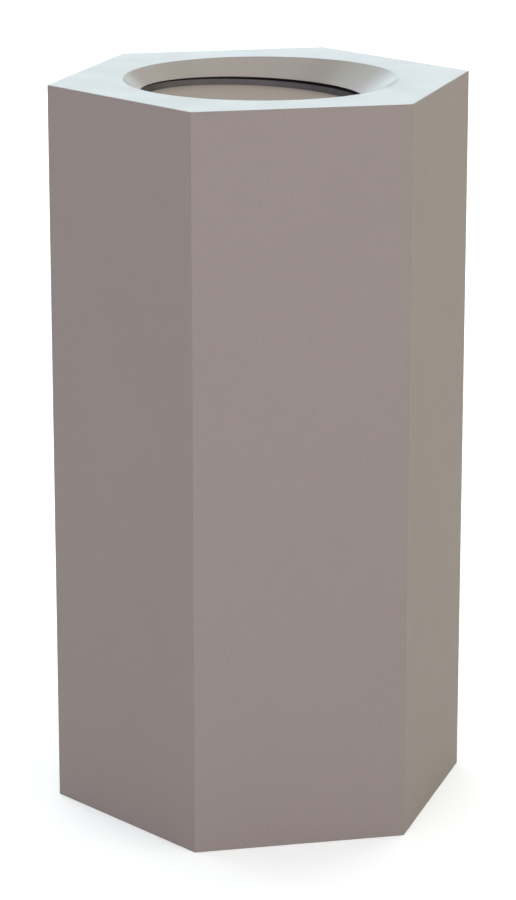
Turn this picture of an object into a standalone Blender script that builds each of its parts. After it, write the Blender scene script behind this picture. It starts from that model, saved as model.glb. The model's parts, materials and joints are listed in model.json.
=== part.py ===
"""Hexagonal rock tumbler barrel with a rubber liner and an expanding lid set down in its mouth.

Metres, +Z up. The origin is the centre of the closed end that the barrel stands on, and +Z runs
along the barrel to its mouth. The six sides are flat, and two of them face +Y and -Y.
"""

import math

import bmesh
import bpy
from mathutils import Matrix, Vector

MM = 0.001
GAP = 0.3 * MM  # between pieces that touch

# Driving dimensions of the barrel.
ACROSS_FLATS = 152.4 * MM
HEIGHT = 2 * ACROSS_FLATS
SHELL_WALL = 2.5 * MM
ARRIS = 0.6 * MM  # rounding of the shell's outer corners
CORNER = ACROSS_FLATS / math.sqrt(3)  # centre to corner

# The mouth: a shallow funnel from a round edge in the top face down to a thin lip.
MOUTH_RADIUS = 0.645 * CORNER
LIP_RADIUS = 0.524 * CORNER
LIP_DEPTH = 0.080 * CORNER
LIP_THICKNESS = 0.4 * MM
LIP_UNDERCUT = 0.6 * MM  # how far the lip's underside starts behind its sharp edge

# The lip and the closure sit a little off centre and out of level, all along one heading.
LEAN_HEADING = math.radians(-12.2)
LEAN_OFFSET = -0.040 * CORNER
LIP_TILT = math.radians(2.0)
CLOSURE_TILT = math.radians(2.6)
CLOSURE_DEPTH = 0.0945 * CORNER  # top face down to the neck's rim

# The closed end.
BASE_THICKNESS = 6.0 * MM
BLOCK_HEIGHT = 15.0 * MM
PAD_APOTHEM = 60.0 * MM
SCREW_CIRCLE = 75.5 * MM
SCREW_RADIUS = 2.5 * MM
SCREW_HEAD_RADIUS = 4.8 * MM
SCREW_LENGTH = 18.0 * MM

# The liner. Heights in its neck are measured from the rim, along the closure's own axis.
LINER_FIT = 0.5 * MM
LINER_WALL = 7.0 * MM
LINER_FLOOR = 8.0 * MM
NECK_RADIUS = 0.534 * CORNER
NECK_WALL = 4.5 * MM
SEAL_BORE_RADIUS = 40.6 * MM
OUTER_SHOULDER_Z = 0.268
INNER_SHOULDER_Z = 0.250

# The lid, on the closure's axis, with heights from the neck's rim.
PLATE_RADIUS = 0.516 * CORNER
PLATE_TOP = -0.0235 * CORNER
PLATE_THICKNESS = 9.0 * MM
PLATE_BOTTOM = PLATE_TOP - PLATE_THICKNESS
BOSS_RADIUS = 32.7 * MM
BOSS_BOTTOM = PLATE_BOTTOM - 9.0 * MM
GASKET_THICKNESS = 2.5 * MM
LEDGE = PLATE_BOTTOM - GASKET_THICKNESS - 2 * GAP
SEAL_HEIGHT = 14.0 * MM
SEAL_BOTTOM = PLATE_BOTTOM - GAP - SEAL_HEIGHT
DISC_TOP = SEAL_BOTTOM - GAP
DISC_BOTTOM = DISC_TOP - 4.0 * MM
INSERT_BOTTOM = DISC_BOTTOM - 3.5 * MM
THREAD_RADIUS = 3.0 * MM
THREAD_PITCH = 1.5 * MM
LOOSENING_TURNS = 3
NUT_TOP = INSERT_BOTTOM - LOOSENING_TURNS * THREAD_PITCH - 1.0 * MM
NUT_HEIGHT = 5.0 * MM
HEAD_RADIUS = 5.0 * MM
HEAD_HEIGHT = 3.2 * MM
COUNTERBORE_DEPTH = 5.0 * MM
PIN_RADIUS = 2.0 * MM
PIN_PLACE = Vector((20.0 * MM, 6.0 * MM))

# The folding pull and the pocket in the lid that it lies in.
WIRE_RADIUS = 1.6 * MM
PULL_HALF_WIDTH = 17.5 * MM
PULL_LENGTH = 18.5 * MM
PULL_PIVOT = Vector((0.0, -12.5 * MM, PLATE_TOP - 2.3 * MM))
PIVOT_REACH = 23.0 * MM
POCKET_HALF_WIDTH = 20.0 * MM
POCKET_BACK = -9.0 * MM
POCKET_FRONT = -34.0 * MM
POCKET_DEPTH = 5.5 * MM
POCKET_CORNER = 4.0 * MM

# Facets of a full turn, all multiples of six so that a circle meets a hexagon corner to corner.
FINE, MEDIUM, COARSE = 96, 48, 18

SMOOTH_UNDER = math.radians(25)  # sharper edges stay crisp


def material(name, colour, roughness, metallic=0.0):
    """A plain surface of one linear colour."""
    made = bpy.data.materials.new(name)
    made.use_nodes = True
    shader = made.node_tree.nodes["Principled BSDF"]
    shader.inputs["Base Color"].default_value = (*colour, 1)
    shader.inputs["Roughness"].default_value = roughness
    shader.inputs["Metallic"].default_value = metallic
    made.diffuse_color = (*colour, 1)
    return made


def hexagon(apothem, z, centre=(0.0, 0.0)):
    """Six corners, one of them on +X."""
    corner = apothem / math.cos(math.pi / 6)
    angles = [k * math.pi / 3 for k in range(6)]
    return [
        Vector((centre[0] + corner * math.cos(a), centre[1] + corner * math.sin(a), z))
        for a in angles
    ]


def circle(radius, z, count=MEDIUM, centre=(0.0, 0.0), phase=0.0):
    angles = [phase + 2 * math.pi * i / count for i in range(count)]
    return [
        Vector((centre[0] + radius * math.cos(a), centre[1] + radius * math.sin(a), z))
        for a in angles
    ]


def leaning(depth, tilt):
    """A frame under the mouth: off centre and tilted along the heading of the lean."""
    turn = Matrix.Rotation(LEAN_HEADING, 4, "Z")
    place = turn @ Vector((LEAN_OFFSET, 0, HEIGHT - depth))
    return Matrix.Translation(place) @ turn @ Matrix.Rotation(tilt, 4, "Y")


def leaning_circle(frame, radius, z, count=FINE):
    """A circle in a leaning frame whose points line up with the barrel's corners."""
    return [frame @ p for p in circle(radius, z, count, phase=-LEAN_HEADING)]


def join_rings(bm, first, second):
    """Faces between two rings of points. A hexagon meets a circle in flat and conical facets."""
    if len(first) == len(second):
        for i, point in enumerate(first):
            following = (i + 1) % len(first)
            bm.faces.new((point, first[following], second[following], second[i]))
        return
    corners, points = sorted((first, second), key=len)
    step = len(points) // 6
    for k in range(6):
        corner, following = corners[k], corners[(k + 1) % 6]
        arc = [points[(k * step + i) % len(points)] for i in range(step + 1)]
        for i in range(step):
            bm.faces.new((corner if i < step // 2 else following, arc[i], arc[i + 1]))
        bm.faces.new((corner, following, arc[step // 2]))


def finish_mesh(bm, name, surface):
    """Turns a bmesh into a smooth-shaded object with one material."""
    bmesh.ops.recalc_face_normals(bm, faces=bm.faces)
    mesh = bpy.data.meshes.new(name)
    bm.to_mesh(mesh)
    bm.free()
    mesh.materials.append(surface)
    mesh.shade_smooth()
    mesh.set_sharp_from_angle(angle=SMOOTH_UNDER)
    obj = bpy.data.objects.new(name, mesh)
    bpy.context.collection.objects.link(obj)
    return obj


def lofted(name, rings, surface, capped=False, parent=None):
    """A body skinned over rings of points: a closed loop of rings, or a chain with its ends capped."""
    bm = bmesh.new()
    made = [[bm.verts.new(p) for p in ring] for ring in rings]
    for first, second in zip(made, made[1:]):
        join_rings(bm, first, second)
    if capped:
        bm.faces.new(made[0])
        bm.faces.new(made[-1])
    else:
        join_rings(bm, made[-1], made[0])
    obj = finish_mesh(bm, name, surface)
    obj.parent = parent
    return obj


def turned(name, profile, surface, count=MEDIUM, parent=None):
    """A ring-shaped body turned from (radius, height) points round its own axis."""
    return lofted(name, [circle(r, z, count) for r, z in profile], surface, parent=parent)


def round_edges(obj, radius, wanted):
    """Rounds the edges whose two end points satisfy wanted(a, b)."""
    bm = bmesh.new()
    bm.from_mesh(obj.data)
    weight = bm.edges.layers.float.new("bevel_weight_edge")
    for edge in bm.edges:
        edge[weight] = 1.0 if wanted(*[v.co for v in edge.verts]) else 0.0
    bm.to_mesh(obj.data)
    bm.free()
    bevel = obj.modifiers.new("rounded_edges", "BEVEL")
    bevel.limit_method = "WEIGHT"
    bevel.width = radius
    bevel.segments = 3
    obj.data.set_sharp_from_angle(angle=SMOOTH_UNDER)


def cut(obj, cutter):
    """Takes the cutter's shape out of the object and keeps the cutter as a hidden helper."""
    cutter.parent = obj.parent
    cutter.hide_render = True
    cutter.display_type = "WIRE"
    boolean = obj.modifiers.new(cutter.name, "BOOLEAN")
    boolean.object = cutter
    boolean.solver = "EXACT"


def rod_along_x(name, start, end, radius, place, surface):
    """A round bar parallel to X between two x positions, at a place in Y and Z."""
    rings = [
        [Vector((x, place.y + p.x, place.z + p.y)) for p in circle(radius, 0, COARSE)]
        for x in (start, end)
    ]
    return lofted(name, rings, surface, capped=True)


def arc_points(centre, radius, start, end, steps):
    """Points round a bend in the XY plane, angles in degrees."""
    angles = [math.radians(start + (end - start) * i / steps) for i in range(steps + 1)]
    return [
        Vector((centre[0] + radius * math.cos(a), centre[1] + radius * math.sin(a), 0))
        for a in angles
    ]


def make_shell(surface):
    """One-piece hexagonal shell, open below, with the funnel mouth in its end face."""
    inner = ACROSS_FLATS / 2 - SHELL_WALL
    ceiling = HEIGHT - SHELL_WALL
    lip = leaning(LIP_DEPTH, LIP_TILT)
    rings = [
        hexagon(ACROSS_FLATS / 2, 0),
        hexagon(ACROSS_FLATS / 2, HEIGHT),
        circle(MOUTH_RADIUS, HEIGHT, FINE),
        leaning_circle(lip, LIP_RADIUS, 0),
        leaning_circle(lip, LIP_RADIUS + LIP_UNDERCUT, -LIP_THICKNESS),
        circle(MOUTH_RADIUS + 1.0 * MM, ceiling, FINE),
        hexagon(inner, ceiling),
        hexagon(inner, 0),
    ]
    shell = lofted("barrel_shell", rings, surface)
    outer_corner = CORNER - 0.1 * MM

    def on_outside(a, b):
        """The six upright corners and the edge round the top face."""
        outside = a.xy.length > outer_corner and b.xy.length > outer_corner
        upright = (a.xy - b.xy).length < MM
        on_top = min(a.z, b.z) > HEIGHT - MM
        return outside and (upright or on_top)

    round_edges(shell, ARRIS, on_outside)


def make_base(plate_surface, pad_surface, steel):
    """The closed end: a plate screwed to blocks in the shell's corners, and a pad for the liner."""
    inner = ACROSS_FLATS / 2 - SHELL_WALL
    fit = inner - GAP
    plate_rings = [hexagon(fit, 0), hexagon(fit, BASE_THICKNESS)]
    plate = lofted("base_plate", plate_rings, plate_surface, capped=True)
    block_low = BASE_THICKNESS + GAP
    block_high = block_low + BLOCK_HEIGHT
    pad_rings = [hexagon(PAD_APOTHEM, z) for z in (block_low, block_high)]
    lofted("base_pad", pad_rings, pad_surface, capped=True)

    wall_slope = math.tan(math.pi / 3)
    corner = inner / math.cos(math.pi / 6) - 2 * GAP
    block_half_width = 12.0 * MM
    block_nose = corner - 3.0 * MM
    block_back = SCREW_CIRCLE - 5.0 * MM
    block_cheek = corner - block_half_width / wall_slope
    outline = [
        (block_back, -block_half_width),
        (block_cheek, -block_half_width),
        (block_nose, -(corner - block_nose) * wall_slope),
        (block_nose, (corner - block_nose) * wall_slope),
        (block_cheek, block_half_width),
        (block_back, block_half_width),
    ]
    head_height = SCREW_HEAD_RADIUS - SCREW_RADIUS
    sink = 0.2 * MM
    for number in range(1, 7):
        turn = Matrix.Rotation((number - 1) * math.pi / 3, 4, "Z")
        block_rings = [[turn @ Vector((u, v, z)) for u, v in outline] for z in (block_low, block_high)]
        block = lofted(f"corner_block_{number}", block_rings, steel, capped=True)
        centre = (turn @ Vector((SCREW_CIRCLE, 0, 0))).xy
        thread = [circle(SCREW_RADIUS + GAP, z, COARSE, centre) for z in (0, block_high + MM)]
        cut(block, lofted(f"block_hole_cutter_{number}", thread, steel, capped=True))
        seat = [
            circle(SCREW_HEAD_RADIUS + GAP, -MM, COARSE, centre),
            circle(SCREW_HEAD_RADIUS + GAP, sink, COARSE, centre),
            circle(SCREW_RADIUS + GAP, sink + head_height, COARSE, centre),
            circle(SCREW_RADIUS + GAP, BASE_THICKNESS + MM, COARSE, centre),
        ]
        cut(plate, lofted(f"base_hole_cutter_{number}", seat, steel, capped=True))
        screw = [
            hexagon(1.5 * MM, sink + 1.6 * MM, centre),
            hexagon(1.5 * MM, sink, centre),
            circle(SCREW_HEAD_RADIUS, sink, COARSE, centre),
            circle(SCREW_RADIUS, sink + head_height, COARSE, centre),
            circle(SCREW_RADIUS, SCREW_LENGTH, COARSE, centre),
        ]
        lofted(f"base_screw_{number}", screw, steel, capped=True)


def make_liner(surface):
    """Rubber pot, hexagonal inside so that the stones tumble, with a round neck under the mouth."""
    outside = ACROSS_FLATS / 2 - SHELL_WALL - LINER_FIT
    inside = outside - LINER_WALL
    bottom = BASE_THICKNESS + BLOCK_HEIGHT + 2 * GAP
    closure = leaning(CLOSURE_DEPTH, CLOSURE_TILT)
    outer_neck = NECK_RADIUS + NECK_WALL
    edge = 0.25 * MM
    rings = [
        hexagon(outside, bottom),
        hexagon(outside, OUTER_SHOULDER_Z),
        leaning_circle(closure, outer_neck, -20.0 * MM),
        leaning_circle(closure, outer_neck, -edge),
        leaning_circle(closure, outer_neck - edge, 0),
        leaning_circle(closure, NECK_RADIUS + edge, 0),
        leaning_circle(closure, NECK_RADIUS, -edge),
        leaning_circle(closure, NECK_RADIUS, LEDGE),
        leaning_circle(closure, SEAL_BORE_RADIUS, LEDGE),
        leaning_circle(closure, SEAL_BORE_RADIUS, -32.0 * MM),
        hexagon(inside, INNER_SHOULDER_Z),
        hexagon(inside, bottom + LINER_FLOOR),
    ]
    lofted("liner", rings, surface, capped=True)


def make_pocket_cutter(surface):
    """Round-cornered block that leaves the pull's pocket in the lid's top."""
    left, right = -POCKET_HALF_WIDTH + POCKET_CORNER, POCKET_HALF_WIDTH - POCKET_CORNER
    front, back = POCKET_FRONT + POCKET_CORNER, POCKET_BACK - POCKET_CORNER
    bends = [
        arc_points((right, back), POCKET_CORNER, 0, 90, 6),
        arc_points((left, back), POCKET_CORNER, 90, 180, 6),
        arc_points((left, front), POCKET_CORNER, 180, 270, 6),
        arc_points((right, front), POCKET_CORNER, 270, 360, 6),
    ]
    outline = [p for bend in bends for p in bend]
    levels = (PLATE_TOP - POCKET_DEPTH, PLATE_TOP + 2 * MM)
    rings = [[Vector((p.x, p.y, z)) for p in outline] for z in levels]
    return lofted("pocket_cutter", rings, surface, capped=True)


def make_lid(frame, plate_surface, rubber, steel, nylon):
    """The lid plate with its seals and guide pins, all fixed to each other."""
    chamfer = 0.6 * MM
    hole = THREAD_RADIUS + 0.4 * MM
    counterbore = HEAD_RADIUS + 0.6 * MM
    counterbore_floor = PLATE_TOP - COUNTERBORE_DEPTH
    plate = turned(
        "lid_plate",
        [
            (counterbore, PLATE_TOP),
            (PLATE_RADIUS - chamfer, PLATE_TOP),
            (PLATE_RADIUS, PLATE_TOP - chamfer),
            (PLATE_RADIUS, PLATE_BOTTOM),
            (BOSS_RADIUS, PLATE_BOTTOM),
            (BOSS_RADIUS, BOSS_BOTTOM),
            (hole, BOSS_BOTTOM),
            (hole, counterbore_floor),
            (counterbore, counterbore_floor),
        ],
        plate_surface,
        FINE,
        frame,
    )
    cut(plate, make_pocket_cutter(plate_surface))
    pivot_hole = WIRE_RADIUS + GAP
    inner_end = POCKET_HALF_WIDTH - POCKET_CORNER
    outer_end = PIVOT_REACH + 0.5 * MM
    for number, side in enumerate((-1, 1), 1):
        ends = sorted((side * inner_end, side * outer_end))
        cut(plate, rod_along_x(f"pivot_cutter_{number}", *ends, pivot_hole, PULL_PIVOT, steel))
        place = (side * PIN_PLACE.x, PIN_PLACE.y)
        socket_top = BOSS_BOTTOM + 7 * MM
        socket = [circle(PIN_RADIUS + GAP, z, COARSE, place) for z in (BOSS_BOTTOM - MM, socket_top)]
        cut(plate, lofted(f"pin_socket_cutter_{number}", socket, steel, capped=True))
        pin = [circle(PIN_RADIUS, z, COARSE, place) for z in (INSERT_BOTTOM - 6 * MM, socket_top - GAP)]
        lofted(f"guide_pin_{number}", pin, steel, capped=True, parent=frame)

    gasket_top = PLATE_BOTTOM - GAP
    gasket_bottom = gasket_top - GASKET_THICKNESS
    gasket_outer, gasket_inner = PLATE_RADIUS + 0.6 * MM, SEAL_BORE_RADIUS + 0.4 * MM
    turned(
        "lid_gasket",
        [
            (gasket_inner, gasket_top),
            (gasket_outer, gasket_top),
            (gasket_outer, gasket_bottom),
            (gasket_inner, gasket_bottom),
        ],
        rubber,
        parent=frame,
    )
    seal_outer, seal_inner = SEAL_BORE_RADIUS - GAP, BOSS_RADIUS + GAP
    crown = 0.8 * MM
    turned(
        "seal_ring",
        [
            (seal_inner, gasket_top),
            (seal_outer - crown, gasket_top),
            (seal_outer, gasket_top - 2 * crown),
            (seal_outer, SEAL_BOTTOM + 2 * crown),
            (seal_outer - crown, SEAL_BOTTOM),
            (seal_inner, SEAL_BOTTOM),
        ],
        rubber,
        parent=frame,
    )
    washer_bottom = counterbore_floor + GAP
    washer_top = washer_bottom + 1.0 * MM
    turned(
        "thrust_washer",
        [
            (hole, washer_top),
            (HEAD_RADIUS + GAP, washer_top),
            (HEAD_RADIUS + GAP, washer_bottom),
            (hole, washer_bottom),
        ],
        nylon,
        parent=frame,
    )


def make_pull(frame, steel):
    """Folding wire pull, whose origin lies on its pivot axis. Folded, it lies towards -Y."""
    near, far = 3.0 * MM, 5.0 * MM  # radii of its bends
    side = PULL_HALF_WIDTH
    half = [Vector((PIVOT_REACH, 0, 0))]
    half += arc_points((side + near, -near), near, 90, 180, 5)
    half += arc_points((side - far, -PULL_LENGTH + far), far, 0, -90, 6)
    route = half + [Vector((-p.x, p.y, 0)) for p in reversed(half)]
    curve = bpy.data.curves.new("bail_handle", "CURVE")
    curve.dimensions = "3D"
    curve.bevel_depth = WIRE_RADIUS
    curve.bevel_resolution = 3
    curve.use_fill_caps = True
    spline = curve.splines.new("POLY")
    spline.points.add(len(route) - 1)
    for point, place in zip(spline.points, route):
        point.co = (*place, 1)
    curve.materials.append(steel)
    pull = bpy.data.objects.new("bail_handle", curve)
    bpy.context.collection.objects.link(pull)
    pull.parent = frame
    pull.location = PULL_PIVOT


def make_expander(frame, steel):
    """Centre screw with a hexagon socket, and the nut that keeps the pressure disc on it."""
    head_top = PLATE_TOP - 0.2 * MM
    head_bottom = head_top - HEAD_HEIGHT
    socket, socket_depth = 2.5 * MM, 2.4 * MM
    nut_bottom = NUT_TOP - NUT_HEIGHT
    screw = [
        hexagon(socket, head_top - socket_depth),
        hexagon(socket, head_top),
        circle(HEAD_RADIUS - 0.3 * MM, head_top),
        circle(HEAD_RADIUS, head_top - 0.3 * MM),
        circle(HEAD_RADIUS, head_bottom),
        circle(THREAD_RADIUS, head_bottom),
        circle(THREAD_RADIUS, nut_bottom - 2 * MM),
    ]
    lofted("expander_screw", screw, steel, capped=True, parent=frame)
    bore = THREAD_RADIUS + GAP
    nut = [
        hexagon(5.0 * MM, NUT_TOP),
        circle(bore, NUT_TOP),
        circle(bore, nut_bottom),
        hexagon(5.0 * MM, nut_bottom),
    ]
    lofted("stop_nut", nut, steel, parent=frame)


def make_press(frame, disc_surface, brass):
    """The disc that squeezes the seal ring, with its threaded insert."""
    body, flange = 6.0 * MM, 9.0 * MM
    disc_radius = SEAL_BORE_RADIUS - 1.1 * MM
    disc = turned(
        "pressure_disc",
        [
            (body + GAP, DISC_TOP),
            (disc_radius, DISC_TOP),
            (disc_radius, DISC_BOTTOM),
            (body + GAP, DISC_BOTTOM),
        ],
        disc_surface,
        parent=frame,
    )
    for number, side in enumerate((-1, 1), 1):
        place = (side * PIN_PLACE.x, PIN_PLACE.y)
        levels = (DISC_BOTTOM - MM, DISC_TOP + MM)
        hole = [circle(PIN_RADIUS + 2 * GAP, z, COARSE, place) for z in levels]
        cut(disc, lofted(f"disc_hole_cutter_{number}", hole, disc_surface, capped=True))
    bore = THREAD_RADIUS + GAP
    turned(
        "thread_insert",
        [
            (bore, DISC_TOP),
            (body, DISC_TOP),
            (body, DISC_BOTTOM - GAP),
            (flange, DISC_BOTTOM - GAP),
            (flange, INSERT_BOTTOM),
            (bore, INSERT_BOTTOM),
        ],
        brass,
        parent=frame,
    )


def empty_at(name, matrix):
    """A frame for the pieces whose motion runs along its own Z axis."""
    made = bpy.data.objects.new(name, None)
    made.matrix_world = matrix
    made.empty_display_size = 0.02
    bpy.context.collection.objects.link(made)
    return made


def main():
    for obj in list(bpy.data.objects):
        bpy.data.objects.remove(obj, do_unlink=True)
    taupe = material("taupe_enamel", (0.36, 0.325, 0.29), 0.5)
    lid_taupe = material("lid_enamel", (0.38, 0.34, 0.30), 0.45)
    rubber = material("liner_rubber", (0.06, 0.058, 0.055), 0.7)
    seal_rubber = material("seal_rubber", (0.025, 0.025, 0.027), 0.6)
    pad_rubber = material("pad_rubber", (0.05, 0.05, 0.05), 0.85)
    zinc = material("zinc_steel", (0.55, 0.56, 0.57), 0.35, 1.0)
    stainless = material("stainless_steel", (0.62, 0.61, 0.60), 0.28, 1.0)
    aluminium = material("cast_aluminium", (0.66, 0.67, 0.68), 0.45, 1.0)
    brass = material("brass", (0.70, 0.52, 0.24), 0.32, 1.0)
    nylon = material("nylon", (0.75, 0.74, 0.70), 0.5)

    make_shell(taupe)
    make_base(taupe, pad_rubber, zinc)
    make_liner(rubber)
    closure = leaning(CLOSURE_DEPTH, CLOSURE_TILT)
    lid_frame = empty_at("lid_frame", closure)
    make_lid(lid_frame, lid_taupe, seal_rubber, stainless, nylon)
    make_pull(lid_frame, stainless)
    make_expander(lid_frame, stainless)
    make_press(lid_frame, aluminium, brass)


main()
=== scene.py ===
"""Looks of the hexagonal tumbler barrel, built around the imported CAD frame. Metres, +Z up."""

import json
import math

import bmesh
import bpy
from mathutils import Matrix, Vector

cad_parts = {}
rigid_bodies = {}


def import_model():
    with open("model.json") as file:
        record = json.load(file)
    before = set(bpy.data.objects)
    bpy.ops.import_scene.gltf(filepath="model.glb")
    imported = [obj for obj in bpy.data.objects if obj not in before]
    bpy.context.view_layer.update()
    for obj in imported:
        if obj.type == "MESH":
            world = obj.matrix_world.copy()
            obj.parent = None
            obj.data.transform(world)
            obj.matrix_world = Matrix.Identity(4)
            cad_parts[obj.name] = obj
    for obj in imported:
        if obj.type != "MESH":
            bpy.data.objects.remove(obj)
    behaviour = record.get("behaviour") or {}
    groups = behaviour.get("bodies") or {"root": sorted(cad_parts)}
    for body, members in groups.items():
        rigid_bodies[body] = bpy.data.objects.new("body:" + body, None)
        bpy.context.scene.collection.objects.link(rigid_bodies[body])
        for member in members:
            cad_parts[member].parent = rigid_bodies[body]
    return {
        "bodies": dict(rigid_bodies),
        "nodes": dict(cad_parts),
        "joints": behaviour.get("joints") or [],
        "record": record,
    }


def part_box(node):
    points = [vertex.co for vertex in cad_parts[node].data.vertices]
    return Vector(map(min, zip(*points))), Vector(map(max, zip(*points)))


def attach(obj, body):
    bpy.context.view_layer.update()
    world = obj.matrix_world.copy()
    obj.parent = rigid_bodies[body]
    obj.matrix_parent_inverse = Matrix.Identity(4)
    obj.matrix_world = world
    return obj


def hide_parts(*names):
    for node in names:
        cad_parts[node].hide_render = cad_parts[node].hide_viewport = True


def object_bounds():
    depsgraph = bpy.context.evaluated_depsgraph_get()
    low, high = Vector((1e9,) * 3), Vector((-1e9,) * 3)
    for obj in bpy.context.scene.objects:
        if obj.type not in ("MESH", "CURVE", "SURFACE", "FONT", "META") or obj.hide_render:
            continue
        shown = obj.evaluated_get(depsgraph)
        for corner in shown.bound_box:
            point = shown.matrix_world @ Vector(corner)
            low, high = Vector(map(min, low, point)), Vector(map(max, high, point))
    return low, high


MM = 0.001

# Camera: where it stands round the barrel's axis, and how it looks down on it.
CAMERA_HEADING = math.radians(-12.22)
CAMERA_DISTANCE = 1.3194
CAMERA_HEIGHT = 0.5153
CAMERA_PITCH = math.radians(15.59)
CAMERA_TURN = math.radians(0.052)  # looks this far to the left of the axis
CAMERA_LENS = 130.24

# The mouth's funnel and lip, the liner's neck and the lid plate, as in the CAD: apart from the
# tilt, in parts of the barrel's corner radius.
MOUTH_RADIUS = 0.645
LIP_RADIUS = 0.524
LIP_DEPTH = 0.080
LIP_OFFSET = -0.040
LIP_TILT = math.radians(2.0)
NECK_RADIUS = 0.534
LID_RADIUS = 0.516
LID_TOP = -0.0235

# The shell's wall.
WALL = 2.5 * MM

# Paper floor: its glow near the object, and the distances between which that grows to white.
FLOOR_GLOW = 0.28
FLOOR_FADE = (1.5, 4.5)
FLOOR_HALF = 30.0
FLOOR_DROP = 0.1 * MM

# Surround: its brightness, and the slopes between which it fades upwards from a white horizon.
SURROUND = 0.15
HORIZON_FADE = (0.03, 0.16)

# Tints of the lights: the photo's left sides are cooler than its right ones, and its end is bluish.
AQUA = (0.84, 1.0, 0.99)
PALE_BLUE = (0.95, 0.97, 1.0)
BLUE = (0.4, 0.7, 1.0)
DAYLIGHT = (0.94, 1.0, 0.94)
VIOLET = (0.68, 0.68, 1.0)
WARM = (1.0, 1.0, 0.9)

# Points round a full turn: a multiple of 12, so that circles pair with the hexagon's corners.
FINE = 288

# Edges sharper than this stay sharp under smooth shading.
SHARP_ANGLE = math.radians(40)


def linear(red, green, blue):
    """A linear colour from the 0-255 values of a screen colour."""
    levels = (red / 255, green / 255, blue / 255)
    return tuple(v / 12.92 if v < 0.04045 else ((v + 0.055) / 1.055) ** 2.4 for v in levels)


# ---------------------------------------------------------------- stage


def make_camera():
    """The photo's viewpoint, level from side to side and looking down on the barrel."""
    data = bpy.data.cameras.new("camera")
    data.sensor_width = 36.0
    data.lens = CAMERA_LENS
    data.clip_start, data.clip_end = 0.05, 60.0
    camera = bpy.data.objects.new("camera", data)
    camera.location = (
        math.sin(CAMERA_HEADING) * CAMERA_DISTANCE,
        -math.cos(CAMERA_HEADING) * CAMERA_DISTANCE,
        CAMERA_HEIGHT,
    )
    camera.rotation_euler = (math.pi / 2 - CAMERA_PITCH, 0, CAMERA_HEADING + CAMERA_TURN)
    bpy.context.scene.collection.objects.link(camera)
    bpy.context.scene.camera = camera


def soft_light(name, place, target, size, brightness, tint):
    """A rectangular softbox at a place, aimed at a target."""
    data = bpy.data.lights.new(name, "AREA")
    data.shape = "RECTANGLE"
    data.size, data.size_y = size
    data.energy = math.pi * size[0] * size[1] * brightness
    data.color = tint
    light = bpy.data.objects.new(name, data)
    light.location = place
    aim = Vector(target) - Vector(place)
    light.rotation_euler = aim.to_track_quat("-Z", "Y").to_euler()
    bpy.context.scene.collection.objects.link(light)


def make_floor():
    """White paper, lit by the lights near the object and glowing softly further out."""
    mesh = bpy.data.meshes.new("floor")
    corners = [
        (FLOOR_HALF * x, FLOOR_HALF * y, -FLOOR_DROP) for x, y in ((-1, -1), (1, -1), (1, 1), (-1, 1))
    ]
    mesh.from_pydata(corners, [], [(0, 1, 2, 3)])
    floor = bpy.data.objects.new("floor", mesh)
    bpy.context.scene.collection.objects.link(floor)
    paper = Surface("floor_paper", (0.88, 0.87, 0.86), 0.9, specular=0.1)
    distance = paper.node("ShaderNodeVectorMath", operation="LENGTH")
    paper.link(paper.place, distance.inputs[0])
    glow = paper.ramp(distance.outputs["Value"], *FLOOR_FADE, FLOOR_GLOW, 1.0)
    paper.shader.inputs["Emission Color"].default_value = (1, 1, 1, 1)
    paper.link(glow, paper.shader.inputs["Emission Strength"])
    mesh.materials.append(paper.material)


def make_surround():
    """A dim, even surround above a white horizon."""
    world = bpy.data.worlds.new("surround")
    world.use_nodes = True
    nodes, links = world.node_tree.nodes, world.node_tree.links
    direction = nodes.new("ShaderNodeSeparateXYZ")
    links.new(nodes.new("ShaderNodeTexCoord").outputs["Generated"], direction.inputs[0])
    fade = nodes.new("ShaderNodeMapRange")
    fade.interpolation_type = "SMOOTHSTEP"
    for index, value in enumerate((*HORIZON_FADE, 1.0, SURROUND), 1):
        fade.inputs[index].default_value = value
    links.new(direction.outputs["Z"], fade.inputs[0])
    links.new(fade.outputs[0], nodes["Background"].inputs["Strength"])
    nodes["Background"].inputs["Color"].default_value = (1, 1, 1, 1)
    bpy.context.scene.world = world


def make_lights(height):
    """Softboxes behind for the end face's reflection, above for the mouth, in front for the sides."""
    mouth, middle = (0, 0, height), (0, 0, height / 2)
    soft_light("back_middle", (0, 3.2, 0.95), mouth, (4.0, 0.5), 2.0, AQUA)
    soft_light("back_high", (0, 3.2, 1.55), mouth, (4.0, 0.7), 2.05, PALE_BLUE)
    soft_light("back_left", (-0.6, 3.2, 1.3), mouth, (3.8, 1.2), 0.8, BLUE)
    soft_light("upper_left", (-1.2, 2.4, 2.6), mouth, (1.8, 1.4), 2.7, AQUA)
    soft_light("upper_right", (1.75, 1.5, 2.3), mouth, (1.6, 1.6), 1.7, DAYLIGHT)
    soft_light("overhead", (0, 0, 3.0), mouth, (3.0, 3.0), 2.2, DAYLIGHT)
    soft_light("front_left", (-1.6, -2.8, 1.1), middle, (1.6, 1.6), 5.7, VIOLET)
    soft_light("front_right", (1.8, -2.4, 1.1), middle, (1.6, 1.6), 2.8, WARM)
    soft_light("right", (2.9, -0.9, 1.5), middle, (1.6, 1.6), 1.1, WARM)
    view = bpy.context.scene.view_settings
    view.view_transform = "Standard"
    view.look = "None"


# ---------------------------------------------------------------- shapes


def curve_between(start, corner, stop, share):
    """A point of the quadratic curve that rounds a corner, tangent to both of its sides."""
    return start * (1 - share) ** 2 + corner * (2 * share * (1 - share)) + stop * share**2


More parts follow.
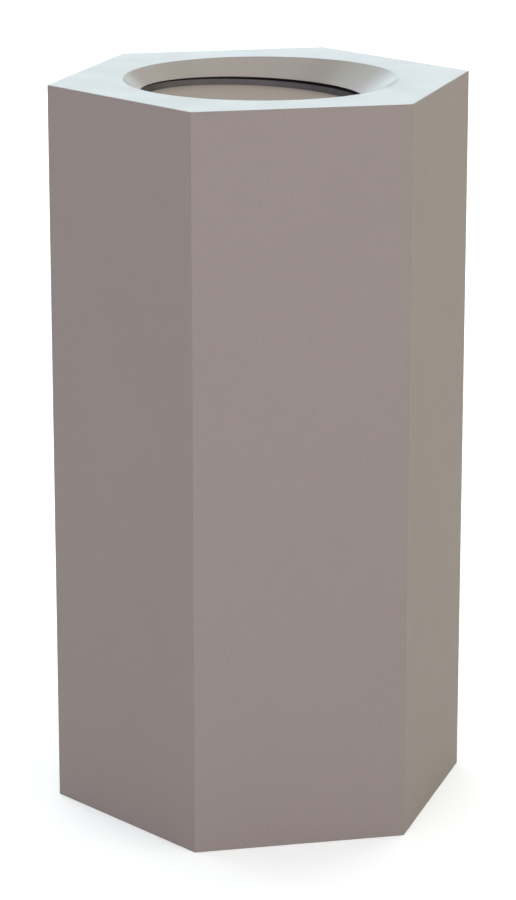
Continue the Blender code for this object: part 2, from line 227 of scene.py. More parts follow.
def fillet(points, radius, steps=4, closed=True):
    """Rounds the corners of a profile of (radius, height) points with quadratic curves."""
    rounded = []
    count = len(points)
    for i, corner in enumerate(points):
        if not closed and i in (0, count - 1):
            rounded.append(tuple(corner))
            continue
        corner = Vector(corner)
        before = Vector(points[i - 1]) - corner
        after = Vector(points[(i + 1) % count]) - corner
        turn = before.angle(after)
        cut = min(radius / math.tan(turn / 2), 0.45 * before.length, 0.45 * after.length)
        start, stop = before.normalized() * cut, after.normalized() * cut
        for k in range(steps + 1):
            rounded.append(tuple(curve_between(corner + start, corner, corner + stop, k / steps)))
    return rounded


def quarter_turn(steps=4):
    """Evenly spaced angles from 0 to 90 degrees."""
    return [math.pi / 2 * i / steps for i in range(steps + 1)]


def circle(radius, z, count=FINE, centre=(0.0, 0.0), phase=0.0):
    """A level circle of points, the first at the phase angle."""
    angles = [phase + 2 * math.pi * i / count for i in range(count)]
    return [
        Vector((centre[0] + radius * math.cos(a), centre[1] + radius * math.sin(a), z))
        for a in angles
    ]


def hexagon(apothem, z, rounding, count=FINE):
    """A hexagon with rounded corners, sampled so that its points pair with those of a circle.

    Each side gets the points that a circle has there, except for the few nearest a corner. These
    make up the corner's arc, and a narrow strip of flat face on either side of it.
    """
    side = count // 6
    arc_steps = 4
    half_arc = math.pi / 6
    reach = rounding * math.tan(half_arc)  # from the sharp corner to the end of its arc
    strip = 0.5 * MM
    half_side = apothem * math.tan(half_arc)
    near = (half_side - reach - strip) / apothem
    kept = range(arc_steps, side - arc_steps + 1)
    across = [-near, *(math.tan(half_arc * (2 * i / side - 1)) for i in kept), near]
    points = []
    for k in range(6):
        corner, middle = k * math.pi / 3, (k + 0.5) * math.pi / 3
        hub = (apothem - rounding) / math.cos(half_arc)
        arc = [corner - half_arc + 2 * half_arc * i / arc_steps for i in range(arc_steps + 1)]
        points += [
            Vector((
                hub * math.cos(corner) + rounding * math.cos(a),
                hub * math.sin(corner) + rounding * math.sin(a),
                z,
            ))
            for a in arc
        ]
        out = Vector((math.cos(middle), math.sin(middle), 0))
        along = Vector((-math.sin(middle), math.cos(middle), 0))
        flat = [out * apothem + along * (apothem * u) for u in across]
        points += [Vector((p.x, p.y, z)) for p in flat]
    start = arc_steps // 2  # the first corner's middle, at angle 0
    return points[start:] + points[:start]


def hexagon_points(apothem, z, count, centre=(0.0, 0.0), turn=0.0):
    """A sharp hexagon sampled at even angles."""
    points = []
    for i in range(count):
        angle = 2 * math.pi * i / count
        radius = apothem / math.cos(angle % (math.pi / 3) - math.pi / 6)
        x, y = radius * math.cos(angle + turn), radius * math.sin(angle + turn)
        points.append(Vector((centre[0] + x, centre[1] + y, z)))
    return points


def smooth(obj):
    """Smooth shading under which flat faces stay flat beside their rounded edges."""
    obj.data.shade_smooth()
    obj.data.set_sharp_from_angle(angle=SHARP_ANGLE)
    weighted = obj.modifiers.new("weighted_normals", "WEIGHTED_NORMAL")
    weighted.keep_sharp = True
    weighted.weight = 100


def object_from(bm, name, *surfaces):
    """A smooth-shaded object made from a bmesh, which is used up."""
    bmesh.ops.recalc_face_normals(bm, faces=bm.faces)
    mesh = bpy.data.meshes.new(name)
    bm.to_mesh(mesh)
    bm.free()
    for surface in surfaces:
        mesh.materials.append(surface)
    obj = bpy.data.objects.new(name, mesh)
    bpy.context.scene.collection.objects.link(obj)
    smooth(obj)
    return obj


def skin(bm, rings, capped=False, matrix=None):
    """Quads over equal rings of points, as a closed loop of rings or a chain with capped ends."""
    place = matrix or Matrix.Identity(4)
    made = [[bm.verts.new(place @ p) for p in ring] for ring in rings]
    pairs = list(zip(made, made[1:]))
    if not capped:
        pairs.append((made[-1], made[0]))
    bands = []
    for first, second in pairs:
        count = len(first)
        bands.append([
            bm.faces.new((first[i], first[(i + 1) % count], second[(i + 1) % count], second[i]))
            for i in range(count)
        ])
    if capped:
        bm.faces.new(made[0])
        bm.faces.new(made[-1])
    return bands


def skinned(name, rings, *surfaces, capped=True, matrix=None):
    """An object skinned over rings: a solid with capped ends, or a closed loop of rings."""
    bm = bmesh.new()
    skin(bm, rings, capped, matrix)
    return object_from(bm, name, *surfaces)


def turned(name, profile, surface, matrix, rounding, count=FINE):
    """A ring turned from a closed profile, its corners rounded."""
    rings = [circle(r, z, count) for r, z in fillet(profile, rounding)]
    return skinned(name, rings, surface, capped=False, matrix=matrix)


def pin(name, profile, surface, matrix, rounding=0.3 * MM, count=48, centre=(0.0, 0.0)):
    """A solid of revolution given by an open profile from one end to the other."""
    points = fillet(profile, rounding, closed=False)
    return skinned(name, [circle(r, z, count, centre) for r, z in points], surface, matrix=matrix)


def cut_away(obj, *cutters):
    """Takes the cutters' shapes out of an object for good, and removes them."""
    obj.modifiers.clear()
    for cutter in cutters:
        cutter.modifiers.clear()
        boolean = obj.modifiers.new(cutter.name, "BOOLEAN")
        boolean.object = cutter
        boolean.solver = "EXACT"
    graph = bpy.context.evaluated_depsgraph_get()
    cut_mesh = bpy.data.meshes.new_from_object(obj.evaluated_get(graph))
    obj.modifiers.clear()
    obj.data = cut_mesh
    for cutter in cutters:
        bpy.data.objects.remove(cutter)
    smooth(obj)


def stands_for(obj, node, body):
    """Says which CAD node a piece replaces, by hiding it, and what it moves with."""
    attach(obj, body)
    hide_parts(node)
    return obj


# ---------------------------------------------------------------- materials


class Surface:
    """A procedural material: a Principled shader and the node chains that feed it."""

    def __init__(self, name, colour, roughness, metallic=0.0, specular=0.5):
        self.material = bpy.data.materials.new(name)
        self.material.use_nodes = True
        self.tree = self.material.node_tree
        self.shader = self.tree.nodes["Principled BSDF"]
        self.shader.inputs["Base Color"].default_value = (*colour, 1)
        self.shader.inputs["Roughness"].default_value = roughness
        self.shader.inputs["Metallic"].default_value = metallic
        self.shader.inputs["Specular IOR Level"].default_value = specular
        self.place = self.tree.nodes.new("ShaderNodeTexCoord").outputs["Object"]

    def node(self, kind, **settings):
        """A new node, with its properties or its named inputs set."""
        made = self.tree.nodes.new(kind)
        for key, value in settings.items():
            if hasattr(made, key):
                setattr(made, key, value)
            else:
                made.inputs[key.replace("_", " ")].default_value = value
        return made

    def link(self, source, target):
        self.tree.links.new(source, target)

    def noise(self, size, detail=3.0, stretch=(1, 1, 1)):
        """Smooth noise whose blobs are about this size in metres, 0 to 1."""
        mapping = self.node("ShaderNodeMapping")
        mapping.inputs["Scale"].default_value = [1 / (size * s) for s in stretch]
        self.link(self.place, mapping.inputs["Vector"])
        noise = self.node("ShaderNodeTexNoise", Scale=1.0, Detail=detail)
        self.link(mapping.outputs["Vector"], noise.inputs["Vector"])
        return noise.outputs["Fac"]

    def ramp(self, factor, low, high, out_low, out_high):
        """Maps a factor's range onto an output range, clamped at both ends."""
        made = self.node("ShaderNodeMapRange")
        for index, value in enumerate((low, high, out_low, out_high), 1):
            made.inputs[index].default_value = value
        self.link(factor, made.inputs[0])
        return made.outputs[0]

    def mix_colour(self, factor, first, second):
        """Mixes two colours, each a colour or a socket."""
        made = self.node("ShaderNodeMix", data_type="RGBA")
        self.link(factor, made.inputs[0])
        for socket, value in ((made.inputs[6], first), (made.inputs[7], second)):
            if isinstance(value, tuple):
                socket.default_value = (*value, 1)
            else:
                self.link(value, socket)
        return made.outputs[2]

    def bump(self, height, distance, strength=1.0, under=None):
        """A normal bumped by a height, on top of another bump if there is one under it."""
        made = self.node("ShaderNodeBump", Distance=distance, Strength=strength)
        self.link(height, made.inputs["Height"])
        if under is not None:
            self.link(under, made.inputs["Normal"])
        return made.outputs["Normal"]

    def set(self, **sockets):
        """Feeds the shader's inputs, given by name."""
        for name, source in sockets.items():
            self.link(source, self.shader.inputs[name.replace("_", " ")])


def shade(colour, factor):
    """A lighter or darker version of a colour."""
    return tuple(min(1.0, v * factor) for v in colour)


def enamel(name, colour, roughness, specular, painted_shade=None):
    """Powder-coat enamel: faint clouding, a fine grain, orange peel and small changes of gloss.

    The last argument paints shade: a centre, the two distances from it between which the darkening
    grows, and its depth.
    """
    surface = Surface(name, colour, roughness, specular=specular)
    cloud = surface.ramp(surface.noise(45 * MM, 4.0), 0.3, 0.7, 0, 1)
    tint = surface.mix_colour(cloud, shade(colour, 0.985), shade(colour, 1.015))
    grain = surface.noise(0.5 * MM, 2.0)
    speckled = surface.mix_colour(
        surface.ramp(grain, 0.35, 0.65, 0, 0.5), tint, shade(colour, 1.08)
    )
    dark = surface.ramp(surface.noise(0.8 * MM, 1.0), 0.3, 0.45, 0.5, 0)
    speckled = surface.mix_colour(dark, speckled, shade(colour, 0.9))
    # Painted shade: darkens the colour with distance from a centre, as a ring round an edge.
    if painted_shade:
        centre, near, far, depth = painted_shade
        distance = surface.node("ShaderNodeVectorMath", operation="DISTANCE")
        surface.link(surface.place, distance.inputs[0])
        distance.inputs[1].default_value = centre
        painted_shade_mix = surface.ramp(distance.outputs["Value"], near, far, 0, depth)
        speckled = surface.mix_colour(painted_shade_mix, speckled, (0, 0, 0))
    peel = surface.bump(surface.noise(1.6 * MM, 1.0), 0.03 * MM, 0.5)
    normal = surface.bump(grain, 0.01 * MM, 0.5, under=peel)
    gloss = surface.ramp(surface.noise(20 * MM, 3.0), 0.3, 0.7, roughness - 0.02, roughness + 0.02)
    surface.set(Base_Color=speckled, Normal=normal, Roughness=gloss)
    return surface.material


def rubber(name, colour, roughness):
    """Moulded rubber: a blotchy bloom and a fine grain."""
    surface = Surface(name, colour, roughness, specular=0.3)
    bloom = surface.noise(12 * MM, 4.0)
    tint = surface.mix_colour(
        surface.ramp(bloom, 0.35, 0.65, 0, 1), shade(colour, 0.88), shade(colour, 1.12)
    )
    grain = surface.noise(0.6 * MM, 3.0)
    surface.set(
        Base_Color=tint,
        Normal=surface.bump(grain, 0.03 * MM, 0.6),
        Roughness=surface.ramp(bloom, 0.3, 0.7, roughness - 0.06, roughness + 0.06),
    )
    return surface.material


def metal(name, colour, roughness, brush=(1, 1, 1)):
    """Bare metal: fine streaks, drawn out along an axis by the brush, and faint stains."""
    surface = Surface(name, colour, roughness, metallic=1.0)
    streaks = surface.noise(0.35 * MM, 3.0, brush)
    stain = surface.noise(8 * MM, 3.0)
    tint = surface.mix_colour(
        surface.ramp(stain, 0.35, 0.65, 0, 1), shade(colour, 0.92), shade(colour, 1.05)
    )
    surface.set(
        Base_Color=tint,
        Normal=surface.bump(streaks, 0.01 * MM, 0.4),
        Roughness=surface.ramp(streaks, 0.2, 0.8, roughness - 0.07, roughness + 0.1),
    )
    return surface.material


def plastic(name, colour, roughness):
    """Moulded plastic: slight clouding and a fine texture."""
    surface = Surface(name, colour, roughness, specular=0.45)
    cloud = surface.noise(6 * MM, 3.0)
    tint = surface.mix_colour(
        surface.ramp(cloud, 0.3, 0.7, 0, 1), shade(colour, 0.95), shade(colour, 1.03)
    )
    surface.set(
        Base_Color=tint,
        Normal=surface.bump(surface.noise(0.5 * MM), 0.01 * MM, 0.5),
    )
    return surface.material


TAUPE = linear(137, 126, 118)


def make_materials(barrel):
    """One material for each of the record's slots, and a smoother enamel for the end face."""
    # Painted shade: an even ring darkening the edge of the lid plate, where it sits down in the neck.
    lid_middle = barrel.closure @ Vector((0, 0, barrel.lid_top))
    lid_painted_shade = (lid_middle, 36 * MM, 46 * MM, 0.2)
    return {
        "taupe_enamel": enamel("taupe_enamel", TAUPE, 0.6, 0.15),
        "face_enamel": enamel("face_enamel", TAUPE, 0.3, 0.5),
        # Dark primer for the shell's unpainted inside; it also darkens the gap seen under the mouth's
        # lip, as painted shade.
        "primer": enamel("primer", linear(38, 36, 35), 0.8, 0.1),
        # The lid plate's enamel is the shell's taupe made lighter, as painted light for the plate
        # sitting down in the mouth.
        "lid_enamel": enamel("lid_enamel", shade(TAUPE, 1.2), 0.7, 0.05, lid_painted_shade),
        "liner_rubber": rubber("liner_rubber", linear(118, 113, 108), 0.6),
        "seal_rubber": rubber("seal_rubber", linear(48, 48, 50), 0.5),
        "pad_rubber": rubber("pad_rubber", linear(70, 70, 70), 0.85),
        "zinc_steel": metal("zinc_steel", linear(190, 191, 194), 0.38),
        "stainless_steel": metal("stainless_steel", linear(205, 203, 200), 0.3, (1, 1, 6)),
        "cast_aluminium": metal("cast_aluminium", linear(208, 210, 212), 0.45),
        "brass": metal("brass", linear(216, 182, 120), 0.32),
        "nylon": plastic("nylon", linear(224, 221, 214), 0.5),
    }


# ---------------------------------------------------------------- pieces


# The closure's sizes and places that several pieces share. Its frame has Z along the axis on
# which the lid lifts, X along the pull's pivots, and its origin in the middle of the neck's top.
LID_THICKNESS = 9.0 * MM
GASKET_ROOM = 3.1 * MM
BOSS_HEIGHT = 9.0 * MM
COUNTERBORE_DEPTH = 5.0 * MM
PIVOT_BACK, PIVOT_DEPTH = -12.5 * MM, 2.3 * MM
GUIDE_ASIDE, GUIDE_AHEAD = 20.0 * MM, 6.0 * MM
NUT_DEPTH, NUT_HEIGHT = 36.6 * MM, 5.0 * MM
SCREW_BORE = 3.3 * MM


class Barrel:
    """The CAD's sizes and frames that the pieces are built on."""

    def __init__(self, frame):
        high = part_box("barrel_shell")[1]
        self.height = high.z
        self.apothem = high.y
        self.corner = self.apothem / math.cos(math.pi / 6)
        joints = {joint["name"]: joint for joint in frame["joints"]}
        axis = Vector(joints["lid_lift"]["axis"])
        across = -Vector(joints["bail_fold"]["axis"])
        origin = Vector(joints["expander_turn"]["pos_m"])
        turned_axes = Matrix((across, axis.cross(across), axis)).transposed()
        self.closure = Matrix.Translation(origin) @ turned_axes.to_4x4()
        self.heading = math.atan2(across.y, across.x)
        turn = Matrix.Rotation(self.heading, 4, "Z")
        lip_height = self.height - LIP_DEPTH * self.corner
        lip_centre = turn @ Vector((LIP_OFFSET * self.corner, 0, lip_height))
        self.lip = Matrix.Translation(lip_centre) @ turn @ Matrix.Rotation(LIP_TILT, 4, "Y")
        self.lid_top = LID_TOP * self.corner
        self.lid_bottom = self.lid_top - LID_THICKNESS
        self.ledge = self.lid_bottom - GASKET_ROOM
        self.boss_bottom = self.lid_bottom - BOSS_HEIGHT
        self.nut_top = self.lid_top - NUT_DEPTH
        self.nut_bottom = self.nut_top - NUT_HEIGHT
        self.guide_places = [(side * GUIDE_ASIDE, GUIDE_AHEAD) for side in (-1, 1)]

    def leaning_circle(self, frame, radius, z):
        """A circle in a leaning frame whose points pair with the hexagon's."""
        return [frame @ p for p in circle(radius, z, phase=-self.heading)]


def make_shell(barrel, side, end, inside):
    """Hexagonal shell with rounded arrises and a funnel mouth, its end smoother than its sides."""
    apothem, top = barrel.apothem, barrel.height
    inner = apothem - WALL
    arris, rim, edge = 0.6 * MM, 0.3 * MM, 0.3 * MM
    lip_thickness, lip_undercut = 0.4 * MM, 0.6 * MM
    flat = 0.5 * MM  # strips of the flat faces beside each rounding
    end_corner, inner_corner, rounding_steps = 0.2 * MM, 0.3 * MM, 4

    rings = [hexagon(apothem, z, arris) for z in (0, flat, top - rim - flat)]
    end_from = len(rings)
    for angle in quarter_turn():
        inset = rim * (1 - math.cos(angle))
        rings.append(hexagon(apothem - inset, top - rim * (1 - math.sin(angle)), arris - inset))
    rings.append(hexagon(apothem - rim - flat, top, end_corner))

    mouth = MOUTH_RADIUS * barrel.corner
    lip_radius = LIP_RADIUS * barrel.corner
    lip = barrel.leaning_circle(barrel.lip, lip_radius, 0)
    corner = circle(mouth - edge, top)
    down = [p + (q - p).normalized() * edge for p, q in zip(corner, lip)]
    out = circle(mouth, top)
    rings.append(circle(mouth + flat, top))
    for step in range(rounding_steps + 1):
        share = step / rounding_steps
        rings.append([curve_between(*points, share) for points in zip(out, corner, down)])
    for share in (0.1, 0.5, 0.9):
        rings.append([p.lerp(q, share) for p, q in zip(down, lip)])
    rings.append(lip)
    end_to = len(rings)
    rings.append(barrel.leaning_circle(barrel.lip, lip_radius + lip_undercut, -lip_thickness))
    rings.append(circle(mouth + MM, top - WALL))
    rings.append(hexagon(inner, top - WALL, inner_corner))
    rings.append(hexagon(inner, 0, inner_corner))

    bm = bmesh.new()
    bands = skin(bm, rings)
    # From the lip's underside on, the shell's inside takes the dark primer: its unpainted inside, and
    # painted shade in the gap under the lip.
    for number, band in enumerate(bands[end_from:], end_from):
        for quad in band:
            quad.material_index = 1 if number < end_to else 2
    shell = object_from(bm, "shell", side, end, inside)
    return stands_for(shell, "barrel_shell", "barrel")


def make_liner(barrel, surface):
    """Moulded rubber pot: hexagonal inside, with a round neck and a ledge for the lid."""
    low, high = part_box("liner")
    outside = high.y
    inside = outside - 7.0 * MM
    floor = low.z + 8.0 * MM
    outer_corner, inner_corner, floor_round = 1.5 * MM, 3.0 * MM, 4.0 * MM
    outer_top, inner_top = barrel.height - 36.8 * MM, barrel.height - 54.8 * MM
    neck = NECK_RADIUS * barrel.corner
    neck_wall, neck_depth, neck_round = 4.5 * MM, 20.0 * MM, 0.25 * MM
    bore, bore_end = 40.6 * MM, -32.0 * MM

    neck_profile = [
        (neck + neck_wall, -neck_depth),
        (neck + neck_wall, 0),
        (neck, 0),
        (neck, barrel.ledge),
        (bore, barrel.ledge),
        (bore, bore_end),
    ]
    levels = (low.z, low.z + MM, outer_top - MM, outer_top)
    rings = [hexagon(outside, z, outer_corner) for z in levels]
    rings += [
        barrel.leaning_circle(barrel.closure, radius, z)
        for radius, z in fillet(neck_profile, neck_round, closed=False)
    ]
    levels = (inner_top, inner_top - 2 * MM, floor + floor_round)
    rings += [hexagon(inside, z, inner_corner) for z in levels]
    for angle in quarter_turn()[1:]:
        sunk, rise = floor_round * (1 - math.cos(angle)), floor_round * (1 - math.sin(angle))
        rings.append(hexagon(inside - sunk, floor + rise, inner_corner))
    return stands_for(skinned("pot", rings, surface), "liner", "barrel")


def pocket_cutter(barrel):
    """Round-cornered block with a rounded floor and a flared rim, for the pull's pocket."""
    half, back, front, corner = 20.0 * MM, -9.0 * MM, -34.0 * MM, 4.0 * MM
    depth, floor_round, flare, above = 5.5 * MM, 1.2 * MM, 0.4 * MM, 2.0 * MM
    hubs = [
        (half - corner, back - corner),
        (corner - half, back - corner),
        (corner - half, front + corner),
        (half - corner, front + corner),
    ]

    def outline(inset, z):
        points = []
        reach = corner - inset
        for quarter, (x, y) in enumerate(hubs):
            for turn in quarter_turn(8):
                angle = quarter * math.pi / 2 + turn
                points.append(Vector((x + reach * math.cos(angle), y + reach * math.sin(angle), z)))
        return points

    top = barrel.lid_top
    floor = top - depth
    rings = []
    for angle in quarter_turn():
        inset, rise = floor_round * (1 - math.sin(angle)), floor_round * (1 - math.cos(angle))
        rings.append(outline(inset, floor + rise))
    rings += [outline(0, top - flare), outline(-flare, top), outline(-flare, top + above)]
    return skinned("pocket_cutter", rings, matrix=barrel.closure)


def pivot_cutter(barrel, name, side):
    """A round bar across the pocket's side, which leaves the hole that the pull turns in."""
    start, end = sorted((side * 16 * MM, side * 23.5 * MM))
    radius, count = 1.9 * MM, 32
    y, z = PIVOT_BACK, barrel.lid_top - PIVOT_DEPTH
    rings = [
        [Vector((x, y + p.x, z + p.y)) for p in circle(radius, 0, count)] for x in (start, end)
    ]
    return skinned(name, rings, matrix=barrel.closure)


def upright_cutter(barrel, name, radius, levels, place):
    """A round bar along the closure's axis, for a guide pin's hole."""
    count = 32
    rings = [circle(radius, z, count, place) for z in levels]
    return skinned(name, rings, matrix=barrel.closure)


def make_lid(barrel, surface):
    """The lid plate, with its pocket and holes."""
    top, bottom, boss_bottom = barrel.lid_top, barrel.lid_bottom, barrel.boss_bottom
    radius, boss, edge = LID_RADIUS * barrel.corner, 32.7 * MM, 0.5 * MM
    hole, counterbore, counterbore_floor = 3.4 * MM, 5.6 * MM, top - COUNTERBORE_DEPTH
    profile = [
        (counterbore, top),
        (radius, top),
        (radius, bottom),
        (boss, bottom),
        (boss, boss_bottom),
        (hole, boss_bottom),
        (hole, counterbore_floor),
        (counterbore, counterbore_floor),
    ]
    plate = turned("closure_plate", profile, surface, barrel.closure, edge)
    cutters = [pocket_cutter(barrel)]
    socket, socket_levels = 2.3 * MM, (boss_bottom - MM, boss_bottom + 7 * MM)
    for number, place in enumerate(barrel.guide_places, 1):
        side = math.copysign(1, place[0])
        cutters.append(pivot_cutter(barrel, f"pivot_cutter_{number}", side))
        name = f"socket_cutter_{number}"
        cutters.append(upright_cutter(barrel, name, socket, socket_levels, place))
    cut_away(plate, *cutters)
    stands_for(plate, "lid_plate", "lid")


def make_guide_pins(barrel, surface):
    """The two pins under the lid, tapered at both ends, that keep the pressure disc from turning."""
    boss_bottom = barrel.boss_bottom
    profile = [
        (0.8 * MM, boss_bottom + 6.7 * MM),
        (2.0 * MM, boss_bottom + 6.2 * MM),
        (2.0 * MM, boss_bottom - 18.4 * MM),
        (1.2 * MM, boss_bottom - 19.0 * MM),
    ]
    for number, place in enumerate(barrel.guide_places, 1):
        guide = pin(f"dowel_{number}", profile, surface, barrel.closure, centre=place)
        stands_for(guide, f"guide_pin_{number}", "lid")


def make_seals(barrel, surface):
    """The flat gasket under the lid plate and the ring that is squeezed against the neck."""
    top = barrel.lid_bottom - 0.3 * MM
    inner, outer, thickness = 41.0 * MM, LID_RADIUS * barrel.corner + 0.6 * MM, 2.5 * MM
    profile = [(inner, top), (outer, top), (outer, top - thickness), (inner, top - thickness)]
    gasket = turned("gasket", profile, surface, barrel.closure, 0.8 * MM)
    stands_for(gasket, "lid_gasket", "lid")
    stands_for(make_seal_ring(barrel, top, surface), "seal_ring", "lid")


def make_washer(barrel, surface):
    """The washer at the bottom of the counterbore, under the screw's head."""
    low = barrel.lid_top - COUNTERBORE_DEPTH + 0.3 * MM
    inner, outer, thickness, count = 3.4 * MM, 5.3 * MM, 1.0 * MM, 96
    profile = [(inner, low + thickness), (outer, low + thickness), (outer, low), (inner, low)]
    washer = turned("washer", profile, surface, barrel.closure, 0.3 * MM, count)
    stands_for(washer, "thrust_washer", "lid")


def make_seal_ring(barrel, top, surface):
    """Squeezed rubber ring whose outside has three shallow sealing lips."""
    height, inner, outer = 14.0 * MM, 33.0 * MM, 40.3 * MM
    end_inset, shoulder_inset, shoulder_share = 1.6 * MM, 0.8 * MM, 0.2
    lips, depth, samples = 3, 0.7 * MM, 30
    margin = 0.03  # part of the height that each flat end's rounding takes up
    profile = [(inner, top), (outer - end_inset, top)]
    for i in range(samples + 1):
        t = i / samples
        past_shoulder = max(0.0, abs(2 * t - 1) - (1 - shoulder_share)) / shoulder_share
        rounding = 1 - math.sqrt(max(1 - past_shoulder, 0.0))
        wave = 0.5 + 0.5 * math.cos(2 * math.pi * lips * (t - 0.5))
        radius = outer - depth * (1 - wave) - shoulder_inset * rounding
        profile.append((radius, top - height * (margin + (1 - 2 * margin) * t)))
    profile += [(outer - end_inset, top - height), (inner, top - height)]
    rings = [circle(r, z) for r, z in profile]
    return skinned("sealing_ring", rings, surface, capped=False, matrix=barrel.closure)


def make_pull(barrel, surface):
    """Wire pull with domed ends, folded down in its pocket."""
    reach, side, length, wire = 23.0 * MM, 17.5 * MM, 18.5 * MM, 1.6 * MM
    near, far, bend_steps = 3.0 * MM, 5.0 * MM, 12
    dome = [(0.45, 0.0), (0.85, 0.35)]  # width of each ring and its distance from the tip, in wire radii
    around = 24

    def bend(x, y, radius, start, end):
        shares = [i / bend_steps for i in range(bend_steps + 1)]
        angles = [math.radians(start + (end - start) * share) for share in shares]
        return [Vector((x + radius * math.cos(a), y + radius * math.sin(a), 0)) for a in angles]

    half = [Vector((reach, 0, 0)), Vector((reach - 1.2 * MM, 0, 0))]
    half += bend(side + near, -near, near, 90, 180)
    half += bend(side - far, far - length, far, 0, -90)
    route = half + [Vector((-p.x, p.y, 0)) for p in reversed(half)]
    pivot, up = Vector((0, PIVOT_BACK, barrel.lid_top - PIVOT_DEPTH)), Vector((0, 0, 1))
    last = len(route) - 1
    rings = []
    for i, point in enumerate(route):
        ahead = (route[min(i + 1, last)] - route[max(i - 1, 0)]).normalized()
        outward = ahead.cross(up)
        angles = [2 * math.pi * k / around for k in range(around)]
        spread = [outward * math.cos(a) + up * math.sin(a) for a in angles]
        steps = [(1.0, 0.0)]
        if i == 0:
            steps = dome
        elif i == last:
            steps = [(width, -back) for width, back in reversed(dome)]
        for width, back in steps:
            middle = point + pivot + ahead * (back * wire)
            rings.append([middle + d * (wire * width) for d in spread])
    pull = skinned("pull", rings, surface, matrix=barrel.closure)
    return stands_for(pull, "bail_handle", "bail")


def make_screw(barrel, surface):
    """The centre screw, with a hexagon socket and a cut thread that fades in below a plain shank."""
    top, head_bottom = barrel.lid_top - 0.2 * MM, barrel.lid_top - 3.4 * MM
    plain_end, end = barrel.boss_bottom, barrel.nut_bottom - 2.0 * MM
    head, head_round, head_chamfer = 5.0 * MM, 0.35 * MM, 0.15 * MM
    socket, socket_mouth, socket_depth, socket_chamfer = 2.5 * MM, 2.8 * MM, 2.4 * MM, 0.3 * MM
    thread, pitch, groove, tip_chamfer = 3.0 * MM, 1.5 * MM, 0.55 * MM, 0.6 * MM
    shank, neck, neck_height = thread - 0.05 * MM, thread + 0.2 * MM, 0.25 * MM
    crest = thread - 0.02 * MM
    around, steps_per_pitch = 48, 8

    rings = [hexagon_points(socket, z, around) for z in (top - socket_depth, top - socket_chamfer)]
    rings.append(hexagon_points(socket_mouth, top, around))
    profile = [
        (head - head_round, top),
        (head, top - head_round),
        (head, head_bottom + head_chamfer),
        (head - head_chamfer, head_bottom),
        (neck, head_bottom),
        (shank, head_bottom - neck_height),
        (shank, plain_end),
    ]
    rings += [circle(radius, z, around) for radius, z in profile]
    z = plain_end
    while z > end + tip_chamfer:
        z -= pitch / steps_per_pitch
        ring = []
        fade = min(1.0, (plain_end - z) / pitch)
        for p in circle(1.0, z, around):
            phase = ((z / pitch) + math.atan2(p.y, p.x) / (2 * math.pi)) % 1.0
            # Narrow flat roots and crests, with straight flanks between them.
            cut = groove * fade * min(1.0, max(0.0, 1.15 - abs(phase - 0.5) * 2.6))
            radius = crest - cut
            ring.append(Vector((p.x * radius, p.y * radius, z)))
        rings.append(ring)
    rings.append(circle(thread - tip_chamfer, end, around))
    screw = skinned("centre_screw", rings, surface, matrix=barrel.closure)
    stands_for(screw, "expander_screw", "expander")


def make_nut(barrel, surface):
    """The stop nut at the screw's end, its six corners chamfered at both faces."""
    top, bottom = barrel.nut_top, barrel.nut_bottom
    apothem, chamfer, bore_chamfer, around = 5.0 * MM, 0.6 * MM, 0.4 * MM, 48
    corner = apothem / math.cos(math.pi / 6)
    rings = []
    for z, inset in ((top, chamfer), (top - chamfer, 0), (bottom + chamfer, 0), (bottom, chamfer)):
        ring = []
        for p in hexagon_points(apothem, z, around):
            limit = min(1.0, (corner - inset) / p.xy.length)
            ring.append(Vector((*(p.xy * limit), z)))
        rings.append(ring)
    bore_profile = [
        (SCREW_BORE + bore_chamfer, bottom),
        (SCREW_BORE, bottom + bore_chamfer),
        (SCREW_BORE, top - bore_chamfer),
        (SCREW_BORE + bore_chamfer, top),
    ]
    rings += [circle(radius, z, around) for radius, z in bore_profile]
    nut = skinned("nut", rings, surface, capped=False, matrix=barrel.closure)
    stands_for(nut, "stop_nut", "expander")


def make_press(barrel, disc_surface, brass):
    """The turned disc that squeezes the seal, and its threaded brass insert."""
    top = barrel.lid_bottom - 14.6 * MM
    bottom = top - 4.0 * MM
    body, flange, rim, hole = 6.0 * MM, 9.0 * MM, 39.5 * MM, 2.6 * MM
    gap, groove_half, groove_depth, flange_height = 0.3 * MM, 0.5 * MM, 0.4 * MM, 3.5 * MM
    profile = [(body + gap, top), (rim, top), (rim, bottom)]
    for groove in (33.0 * MM, 25.0 * MM):
        profile += [
            (groove, bottom),
            (groove - groove_half, bottom + groove_depth),
            (groove - 2 * groove_half, bottom),
        ]
    profile.append((body + gap, bottom))
    disc = turned("squeeze_disc", profile, disc_surface, barrel.closure, 0.4 * MM)
    levels = (bottom - MM, top + MM)
    cutters = [
        upright_cutter(barrel, f"disc_cutter_{number}", hole, levels, place)
        for number, place in enumerate(barrel.guide_places, 1)
    ]
    cut_away(disc, *cutters)
    stands_for(disc, "pressure_disc", "press")
    flange_top, low = bottom - gap, bottom - flange_height
    insert_profile = [
        (SCREW_BORE, top),
        (body, top),
        (body, flange_top),
        (flange, flange_top),
        (flange, low),
        (SCREW_BORE, low),
    ]
    insert = turned("insert", insert_profile, brass, barrel.closure, 0.35 * MM, 96)
    stands_for(insert, "thread_insert", "press")


def make_end_screw(number, centre, head, sink, end, surface):
    """One countersunk screw of the closed end, with a hexagon socket."""
    shank, count, turn = 2.5 * MM, 48, number * 0.7
    socket, socket_mouth, socket_depth, socket_chamfer = 1.5 * MM, 1.7 * MM, 1.6 * MM, 0.2 * MM
    face_round, edge = 0.3 * MM, 0.15 * MM
    levels = (sink + socket_depth, sink + socket_chamfer)
    rings = [hexagon_points(socket, z, count, centre, turn) for z in levels]
    rings.append(hexagon_points(socket_mouth, sink, count, centre, turn))
    profile = [
        (head - face_round, sink),
        (head, sink + edge),
        (shank, sink + head - shank),
        (shank, end),
    ]
    rings += [circle(radius, z, count, centre, turn) for radius, z in profile]
    screw = skinned(f"end_screw_{number}", rings, surface)
    stands_for(screw, f"base_screw_{number}", "barrel")


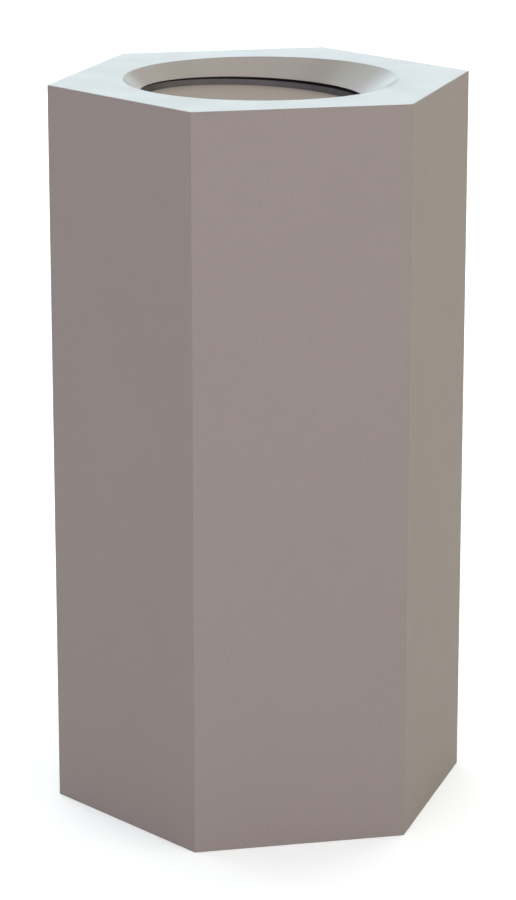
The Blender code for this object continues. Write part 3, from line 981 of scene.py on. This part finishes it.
def seat_cutter(number, centre, head, sink, thickness):
    """The countersunk hole of one screw, right through the plate, with clearance all round."""
    shank, clearance = 2.5 * MM, 0.3 * MM
    profile = [
        (head + clearance + MM, -MM),
        (head + clearance, sink - 0.05 * MM),
        (head + clearance, sink),
        (shank + clearance, sink + head - shank),
        (shank + clearance, thickness + MM),
    ]
    return skinned(f"seat_cutter_{number}", [circle(r, z, 48, centre) for r, z in profile])


def make_base(plate_surface, steel):
    """The closed end's plate with its countersinks, and the screws in them."""
    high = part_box("base_plate")[1]
    apothem, thickness = high.y, high.z
    chamfer, corner = 0.4 * MM, 0.8 * MM
    levels = ((chamfer, 0), (0, chamfer), (0, thickness - chamfer), (chamfer, thickness))
    plate = skinned(
        "closed_end", [hexagon(apothem - inset, z, corner) for inset, z in levels], plate_surface
    )
    cutters = []
    for number in range(1, 7):
        box_low, box_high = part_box(f"base_screw_{number}")
        centre = ((box_low + box_high) / 2).xy
        head = (box_high.x - box_low.x) / 2
        cutters.append(seat_cutter(number, centre, head, box_low.z, thickness))
        make_end_screw(number, centre, head, box_low.z, box_high.z, steel)
    cut_away(plate, *cutters)
    stands_for(plate, "base_plate", "barrel")


def main():
    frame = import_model()
    cad_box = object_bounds()
    make_camera()
    make_floor()
    make_surround()
    make_lights(cad_box[1].z)
    barrel = Barrel(frame)
    materials = make_materials(barrel)
    slots = {row["node"]: row["material_slot"] for row in frame["record"]["subparts"]}
    for name, node in frame["nodes"].items():
        node.data.materials.clear()
        node.data.materials.append(materials[slots[name]])
    make_shell(barrel, materials["taupe_enamel"], materials["face_enamel"], materials["primer"])
    make_liner(barrel, materials["liner_rubber"])
    make_base(materials["taupe_enamel"], materials["zinc_steel"])
    make_lid(barrel, materials["lid_enamel"])
    make_guide_pins(barrel, materials["stainless_steel"])
    make_seals(barrel, materials["seal_rubber"])
    make_washer(barrel, materials["nylon"])
    make_pull(barrel, materials["stainless_steel"])
    make_screw(barrel, materials["stainless_steel"])
    make_nut(barrel, materials["stainless_steel"])
    make_press(barrel, materials["cast_aluminium"], materials["brass"])


main()
